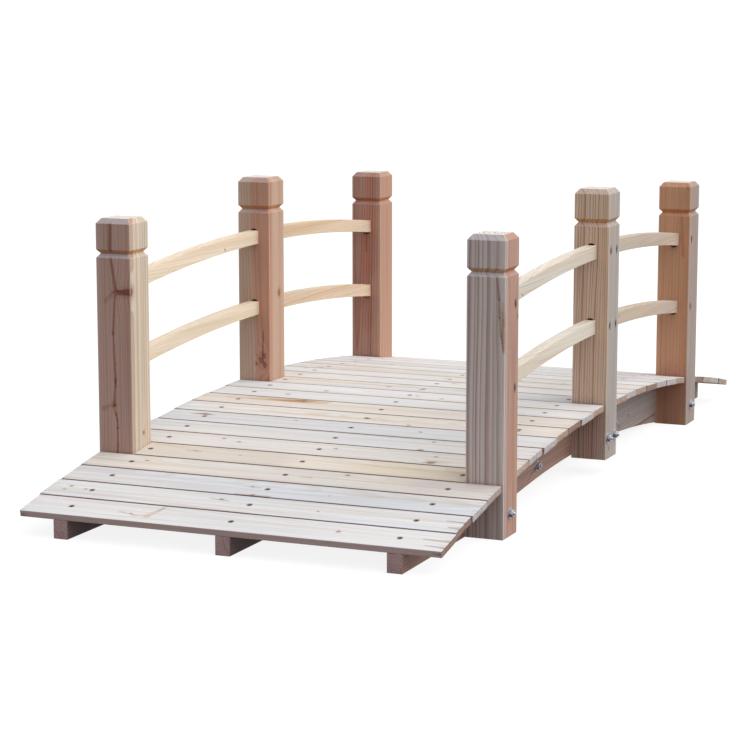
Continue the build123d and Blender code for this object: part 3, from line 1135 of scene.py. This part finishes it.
def build(name, solids_at, material):
    """One mesh from pairs of solids, each a list of rings, and the frame it stands in."""
    points, faces = [], []
    for solids, matrix in solids_at:
        for rings in solids:
            first = len(points)
            sides = len(rings[0])
            points += [matrix @ Vector(point) for ring in rings for point in ring]
            for level in range(len(rings) - 1):
                for n in range(sides):
                    low = first + level * sides
                    after = (n + 1) % sides
                    faces.append((low + n, low + after, low + sides + after, low + sides + n))
            faces.append(tuple(first + n for n in reversed(range(sides))))
            last = first + (len(rings) - 1) * sides
            faces.append(tuple(last + n for n in range(sides)))
    mesh = bpy.data.meshes.new(name)
    mesh.from_pydata(points, [], faces)
    mesh.materials.append(material)
    mesh.shade_smooth()
    piece = bpy.data.objects.new(name, mesh)
    bpy.context.collection.objects.link(piece)
    edges = piece.modifiers.new("crisp edges", "EDGE_SPLIT")
    edges.split_angle = CRISP_ANGLE
    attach(piece, "root")


def facing_x(x, y, z, way, spin):
    """Frame on a face that looks along X: Z out of it, turned by a spin."""
    turn = Matrix.Rotation(way * math.pi / 2, 4, "Y") @ Matrix.Rotation(spin, 4, "Z")
    return Matrix.Translation((x, y, z)) @ turn


def make_screws():
    chance = random.Random(SCREW_SEED)
    head = screw_head()
    deck = []
    for number in range(1, PLANK_COUNT + 1):
        for x in (-SCREW_LINE, 0, SCREW_LINE):
            spin = Matrix.Rotation(chance.uniform(0, math.pi), 4, "Z")
            deck.append((head, plank_matrix(number) @ Matrix.Translation((x, 0, 0)) @ spin))
    build("deck_screws", deck, DARK_SCREW)
    rails = []
    for way in SIDES.values():
        for end in ENDS.values():
            for y in (end * CORNER_SCREW, end * MIDDLE_SCREW):
                for radius in (UPPER_RAIL_RADIUS, LOWER_RAIL_RADIUS):
                    spin = chance.uniform(0, math.pi)
                    rails.append((head, facing_x(way * POST_FACE, y, arc_height(radius, y), way, spin)))
    build("rail_screws", rails, DARK_SCREW)


def make_bolts():
    chance = random.Random(BOLT_SEED)
    splice_height = arc_height(STRINGER_UNDERSIDE, SPLICE_BOLT_OFFSET) + SPLICE_BOLT_RISE
    inner = STRINGER_FACE - STRINGER_THICKNESS
    splice_inner = inner - SPLICE_THICKNESS
    bolts = []
    for way in SIDES.values():
        for end in ENDS.values():
            places = (
                (POST_FACE, inner, end * POST_SPACING, CORNER_BOLT_HEIGHT),
                (POST_FACE, splice_inner, end * MIDDLE_BOLT_OFFSET, MIDDLE_BOLT_HEIGHT),
                (STRINGER_FACE, splice_inner, end * SPLICE_BOLT_OFFSET, splice_height),
            )
            for outer, far, y, z in places:
                where = facing_x(way * outer, y, z, way, chance.uniform(0, math.pi))
                bolts.append((bolt(outer - far), where))
    middle_face = STRINGER_THICKNESS / 2 + SPLICE_THICKNESS
    heights = ((MIDDLE_BOLT_OFFSET, MIDDLE_BOLT_HEIGHT), (SPLICE_BOLT_OFFSET, splice_height))
    for end in ENDS.values():
        for offset, z in heights:
            where = facing_x(middle_face, end * offset, z, 1, chance.uniform(0, math.pi))
            bolts.append((bolt(STRINGER_THICKNESS + SPLICE_THICKNESS), where))
    build("hex_bolts", bolts, ZINC)


# Edges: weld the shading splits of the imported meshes, then ease every arris
def ease_edges(piece, width):
    weld = piece.modifiers.new("weld", "WELD")
    weld.merge_threshold = WELD_REACH
    bevel = piece.modifiers.new("eased edges", "BEVEL")
    bevel.width = width
    bevel.segments = BEVEL_STEPS
    bevel.limit_method = "ANGLE"
    bevel.angle_limit = BEVEL_ANGLE
    normals = piece.modifiers.new("even shading", "WEIGHTED_NORMAL")
    normals.keep_sharp = True
    normals.weight = NORMAL_WEIGHT


def dress_frame():
    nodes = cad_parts
    for name, piece in nodes.items():
        ease_edges(piece, PLANK_EASING if name.startswith("deck_plank") else EASING)
    for number in range(1, PLANK_COUNT + 1):
        shade(nodes[f"deck_plank_{number:02d}"], deck_timber(number))
    for side, way in SIDES.items():
        for row, step in ROWS.items():
            place = upright_matrix(way * POST_CENTRE, step * POST_SPACING)
            shade(nodes[f"post_{row}_{side}"], post_timber(row, side, place))
        for end, step in ENDS.items():
            tone = RAIL_TONES[f"{end}_{side}"]
            for level in ("upper", "lower"):
                name = f"{level}_{end}_{side}"
                place = lengthwise_matrix(*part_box(f"rail_{name}"))
                shade(nodes[f"rail_{name}"], rail_timber(name, place, tone))
    for side in ("left", "middle", "right"):
        for end in ENDS:
            name = f"{side}_{end}"
            place = lengthwise_matrix(*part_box(f"stringer_{name}"))
            greyness = STRINGER_GREYNESS.get(name, USUAL_GREYNESS)
            shade(nodes[f"stringer_{name}"], stringer_timber(name, place, greyness))
        place = lengthwise_matrix(*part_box(f"splice_board_{side}"))
        shade(nodes[f"splice_board_{side}"], splice_timber(side, place))


# Stage
def make_floor():
    mesh = bpy.data.meshes.new("floor")
    corners = ((-1, -1), (1, -1), (1, 1), (-1, 1))
    points = [(x * FLOOR_REACH, y * FLOOR_REACH, 0) for x, y in corners]
    mesh.from_pydata(points, [], [(0, 1, 2, 3)])
    floor = bpy.data.objects.new("floor", mesh)
    bpy.context.collection.objects.link(floor)
    material = bpy.data.materials.new("floor")
    material.use_nodes = True
    material.node_tree.nodes.clear()
    s = Shader(material.node_tree)
    out = s.node("OutputMaterial")
    add = s.node("AddShader")
    diffuse = s.node("BsdfDiffuse")
    diffuse.inputs["Color"].default_value = (FLOOR_GREY, FLOOR_GREY, FLOOR_GREY, 1)
    glow = s.node("Emission")
    s.feed(glow.inputs["Strength"], s.calc("MULTIPLY", s.seen(), FLOOR_GLOW))
    s.feed(add.inputs[0], diffuse.outputs[0])
    s.feed(add.inputs[1], glow.outputs[0])
    s.feed(out.inputs["Surface"], add.outputs[0])
    mesh.materials.append(material)


def make_world():
    world = bpy.data.worlds.new("studio")
    bpy.context.scene.world = world
    world.use_nodes = True
    world.node_tree.nodes.clear()
    s = Shader(world.node_tree)
    out = s.node("OutputWorld")
    mix = s.node("MixShader")
    sky = s.node("Background")
    sky.inputs["Color"].default_value = SKY_COLOUR
    direction = s.node("TexCoord").outputs["Generated"]
    raised = s.ease(s.parts(direction)["Z"], 0.0, SKY_RISE, SKY_LOW, 1.0)
    s.feed(sky.inputs["Strength"], s.calc("MULTIPLY", raised, SKY_STRENGTH))
    bright = s.node("Background")
    bright.inputs["Color"].default_value = BRIGHT_COLOUR
    towards = s.calc("MAXIMUM", s.dot(direction, BRIGHT_SIDE), 0.0)
    lobe = s.calc("MULTIPLY", s.calc("POWER", towards, 2.0), BRIGHT_STRENGTH)
    s.feed(bright.inputs["Strength"], s.calc("MULTIPLY", raised, lobe))
    dome = s.node("AddShader")
    s.feed(dome.inputs[0], sky.outputs[0])
    s.feed(dome.inputs[1], bright.outputs[0])
    white = s.node("Background")
    white.inputs["Color"].default_value = (1, 1, 1, 1)
    s.feed(mix.inputs[0], s.seen())
    s.feed(mix.inputs[1], dome.outputs[0])
    s.feed(mix.inputs[2], white.outputs[0])
    s.feed(out.inputs["Surface"], mix.outputs[0])


def make_lamp():
    data = bpy.data.lights.new("key", "AREA")
    data.shape = "DISK"
    data.size = KEY_SIZE
    data.energy = KEY_POWER
    data.color = KEY_COLOUR
    lamp = bpy.data.objects.new("key", data)
    lamp.location = KEY_PLACE
    ahead = Vector(KEY_AIM) - Vector(KEY_PLACE)
    lamp.rotation_euler = ahead.to_track_quat("-Z", "Y").to_euler()
    bpy.context.collection.objects.link(lamp)


def make_camera():
    data = bpy.data.cameras.new("camera")
    data.sensor_fit = "HORIZONTAL"
    data.sensor_width = SENSOR_WIDTH
    data.lens = CAMERA_LENS
    camera = bpy.data.objects.new("camera", data)
    camera.location = CAMERA_PLACE
    level = math.cos(CAMERA_PITCH)
    ahead = Vector((math.sin(CAMERA_YAW) * level, math.cos(CAMERA_YAW) * level, math.sin(CAMERA_PITCH)))
    camera.rotation_euler = ahead.to_track_quat("-Z", "Y").to_euler()
    bpy.context.collection.objects.link(camera)
    bpy.context.scene.camera = camera


BRANCH = make_knot_group()
TIMBER = make_timber_group()
ZINC = zinc()
DARK_SCREW = dark_screw()
dress_frame()
make_screws()
make_bolts()
make_floor()
make_world()
make_lamp()
make_camera()
bpy.context.scene.view_settings.view_transform = "Standard"
